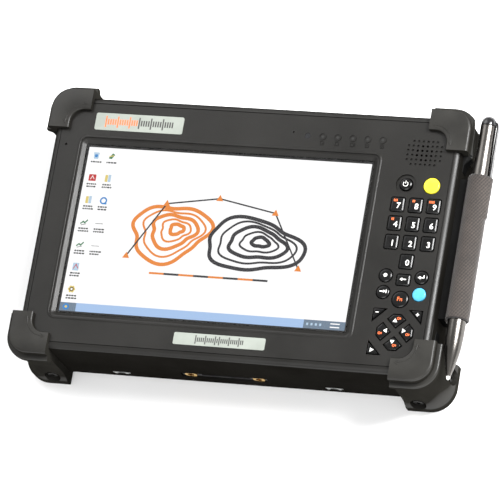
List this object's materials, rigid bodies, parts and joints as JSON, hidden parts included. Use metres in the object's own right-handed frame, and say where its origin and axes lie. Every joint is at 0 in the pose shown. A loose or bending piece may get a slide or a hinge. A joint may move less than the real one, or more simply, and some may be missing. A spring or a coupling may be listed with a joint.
{
  "type": "data collector",
  "caption": "Rugged landscape tablet data collector with a side keypad, corner bumpers, docking socket, slide-out battery and a stylus in a fabric sleeve.",
  "frame": {"origin": "middle of the lower face of the bounding box, on the surface the tablet lies on", "axes": "+X along the long side towards the stylus, +Y up the display, +Z out of the display; lying on its back"},
  "size_m": [0.243, 0.1502, 0.0445],
  "materials": {
    "housing_plastic": "fine textured dark grey",
    "bumper_rubber": "matt dark grey",
    "seal_rubber": "matt black",
    "touch_glass": "clear, hard coated",
    "display": "lit white desktop",
    "frame_aluminium": "stamped, satin",
    "board": "green solder resist",
    "steel": "brushed",
    "brass": "turned, gilt",
    "socket_plastic": "moulded black",
    "lens": "clear moulded",
    "sensor_glass": "dark, polished",
    "label": "pale, satin",
    "key_black": "glossy black",
    "key_yellow": "yellow, satin",
    "key_blue": "light blue, satin",
    "stylus_metal": "satin, bright",
    "nib_plastic": "white",
    "cap_plastic": "black, polished",
    "sleeve_fabric": "knitted, grey-brown"
  },
  "bodies": {
    "tablet": {"rear_housing": "housing_plastic", "front_housing": "housing_plastic", "housing_seal": "seal_rubber", "touch_glass": "touch_glass", "display_module": "display", "display_gasket": "seal_rubber", "mid_frame": "frame_aluminium", "main_board": "board", "storage_module": "steel", "keypad_board": "board", "speaker": "socket_plastic", "indicator_lenses": "lens", "sensor_lens": "sensor_glass", "upper_label_plate": "label", "lower_label_plate": "label", "bumper_top_left": "bumper_rubber", "bumper_top_right": "bumper_rubber", "bumper_bottom_left": "bumper_rubber", "bumper_bottom_right": "bumper_rubber", "side_screws": "steel", "housing_screws": "steel", "dock_strikes": "steel", "dock_connector": "socket_plastic", "dock_guide_bushes": "brass", "io_ports": "steel", "stylus_sleeve": "sleeve_fabric", "sleeve_rail": "housing_plastic", "sleeve_clamp": "steel", "port_cover_pin": "steel"},
    "battery": {"battery_pack": "housing_plastic"},
    "latch": {"battery_latch": "housing_plastic"},
    "cover": {"port_cover": "bumper_rubber"},
    "stylus": {"stylus_barrel": "stylus_metal", "stylus_nib": "nib_plastic", "stylus_cap": "cap_plastic"},
    "key_power": {"key_power": "key_black"},
    "key_yellow": {"key_yellow": "key_yellow"},
    "key_7": {"key_7": "key_black"},
    "key_8": {"key_8": "key_black"},
    "key_9": {"key_9": "key_black"},
    "key_4": {"key_4": "key_black"},
    "key_5": {"key_5": "key_black"},
    "key_6": {"key_6": "key_black"},
    "key_1": {"key_1": "key_black"},
    "key_2": {"key_2": "key_black"},
    "key_3": {"key_3": "key_black"},
    "key_0": {"key_0": "key_black"},
    "key_point": {"key_point": "key_black"},
    "key_backspace": {"key_backspace": "key_black"},
    "key_enter": {"key_enter": "key_black"},
    "key_tab": {"key_tab": "key_black"},
    "key_fn": {"key_fn": "key_black"},
    "key_blue": {"key_blue": "key_blue"},
    "key_minus": {"key_minus": "key_black"},
    "key_plus": {"key_plus": "key_black"},
    "key_up": {"key_up": "key_black"},
    "key_down": {"key_down": "key_black"},
    "key_left": {"key_left": "key_black"},
    "key_right": {"key_right": "key_black"},
    "key_pointer": {"key_pointer": "key_black"}
  },
  "joints": [
    {"name": "battery_slide", "type": "slide", "parent": "tablet", "child": "battery", "axis": [-1, 0, 0], "range_m": [0, 0.1]},
    {"name": "latch_slide", "type": "slide", "parent": "tablet", "child": "latch", "axis": [0, -1, 0], "range_m": [0, 0.003]},
    {"name": "cover_hinge", "type": "hinge", "parent": "tablet", "child": "cover", "pos_m": [0.01425, 0.0685, 0.0051], "axis": [-1, 0, 0], "range_deg": [0, 100]},
    {"name": "stylus_slide", "type": "slide", "parent": "tablet", "child": "stylus", "axis": [0, 1, 0], "range_m": [0, 0.15]},
    {"name": "key_power_press", "type": "slide", "parent": "tablet", "child": "key_power", "axis": [0, 0, -1], "range_m": [0, 0.0008], "stiffness_N_per_m": 600, "springref_m": -0.0006},
    {"name": "key_yellow_press", "type": "slide", "parent": "tablet", "child": "key_yellow", "axis": [0, 0, -1], "range_m": [0, 0.0008], "stiffness_N_per_m": 600, "springref_m": -0.0006},
    {"name": "key_7_press", "type": "slide", "parent": "tablet", "child": "key_7", "axis": [0, 0, -1], "range_m": [0, 0.0008], "stiffness_N_per_m": 600, "springref_m": -0.0006},
    {"name": "key_8_press", "type": "slide", "parent": "tablet", "child": "key_8", "axis": [0, 0, -1], "range_m": [0, 0.0008], "stiffness_N_per_m": 600, "springref_m": -0.0006},
    {"name": "key_9_press", "type": "slide", "parent": "tablet", "child": "key_9", "axis": [0, 0, -1], "range_m": [0, 0.0008], "stiffness_N_per_m": 600, "springref_m": -0.0006},
    {"name": "key_4_press", "type": "slide", "parent": "tablet", "child": "key_4", "axis": [0, 0, -1], "range_m": [0, 0.0008], "stiffness_N_per_m": 600, "springref_m": -0.0006},
    {"name": "key_5_press", "type": "slide", "parent": "tablet", "child": "key_5", "axis": [0, 0, -1], "range_m": [0, 0.0008], "stiffness_N_per_m": 600, "springref_m": -0.0006},
    {"name": "key_6_press", "type": "slide", "parent": "tablet", "child": "key_6", "axis": [0, 0, -1], "range_m": [0, 0.0008], "stiffness_N_per_m": 600, "springref_m": -0.0006},
    {"name": "key_1_press", "type": "slide", "parent": "tablet", "child": "key_1", "axis": [0, 0, -1], "range_m": [0, 0.0008], "stiffness_N_per_m": 600, "springref_m": -0.0006},
    {"name": "key_2_press", "type": "slide", "parent": "tablet", "child": "key_2", "axis": [0, 0, -1], "range_m": [0, 0.0008], "stiffness_N_per_m": 600, "springref_m": -0.0006},
    {"name": "key_3_press", "type": "slide", "parent": "tablet", "child": "key_3", "axis": [0, 0, -1], "range_m": [0, 0.0008], "stiffness_N_per_m": 600, "springref_m": -0.0006},
    {"name": "key_0_press", "type": "slide", "parent": "tablet", "child": "key_0", "axis": [0, 0, -1], "range_m": [0, 0.0008], "stiffness_N_per_m": 600, "springref_m": -0.0006},
    {"name": "key_point_press", "type": "slide", "parent": "tablet", "child": "key_point", "axis": [0, 0, -1], "range_m": [0, 0.0008], "stiffness_N_per_m": 600, "springref_m": -0.0006},
    {"name": "key_backspace_press", "type": "slide", "parent": "tablet", "child": "key_backspace", "axis": [0, 0, -1], "range_m": [0, 0.0008], "stiffness_N_per_m": 600, "springref_m": -0.0006},
    {"name": "key_enter_press", "type": "slide", "parent": "tablet", "child": "key_enter", "axis": [0, 0, -1], "range_m": [0, 0.0008], "stiffness_N_per_m": 600, "springref_m": -0.0006},
    {"name": "key_tab_press", "type": "slide", "parent": "tablet", "child": "key_tab", "axis": [0, 0, -1], "range_m": [0, 0.0008], "stiffness_N_per_m": 600, "springref_m": -0.0006},
    {"name": "key_fn_press", "type": "slide", "parent": "tablet", "child": "key_fn", "axis": [0, 0, -1], "range_m": [0, 0.0008], "stiffness_N_per_m": 600, "springref_m": -0.0006},
    {"name": "key_blue_press", "type": "slide", "parent": "tablet", "child": "key_blue", "axis": [0, 0, -1], "range_m": [0, 0.0008], "stiffness_N_per_m": 600, "springref_m": -0.0006},
    {"name": "key_minus_press", "type": "slide", "parent": "tablet", "child": "key_minus", "axis": [0, 0, -1], "range_m": [0, 0.0008], "stiffness_N_per_m": 600, "springref_m": -0.0006},
    {"name": "key_plus_press", "type": "slide", "parent": "tablet", "child": "key_plus", "axis": [0, 0, -1], "range_m": [0, 0.0008], "stiffness_N_per_m": 600, "springref_m": -0.0006},
    {"name": "key_up_press", "type": "slide", "parent": "tablet", "child": "key_up", "axis": [0, 0, -1], "range_m": [0, 0.0008], "stiffness_N_per_m": 600, "springref_m": -0.0006},
    {"name": "key_down_press", "type": "slide", "parent": "tablet", "child": "key_down", "axis": [0, 0, -1], "range_m": [0, 0.0008], "stiffness_N_per_m": 600, "springref_m": -0.0006},
    {"name": "key_left_press", "type": "slide", "parent": "tablet", "child": "key_left", "axis": [0, 0, -1], "range_m": [0, 0.0008], "stiffness_N_per_m": 600, "springref_m": -0.0006},
    {"name": "key_right_press", "type": "slide", "parent": "tablet", "child": "key_right", "axis": [0, 0, -1], "range_m": [0, 0.0008], "stiffness_N_per_m": 600, "springref_m": -0.0006},
    {"name": "key_pointer_press", "type": "slide", "parent": "tablet", "child": "key_pointer", "axis": [0, 0, -1], "range_m": [0, 0.0008], "stiffness_N_per_m": 600, "springref_m": -0.0006}
  ]
}
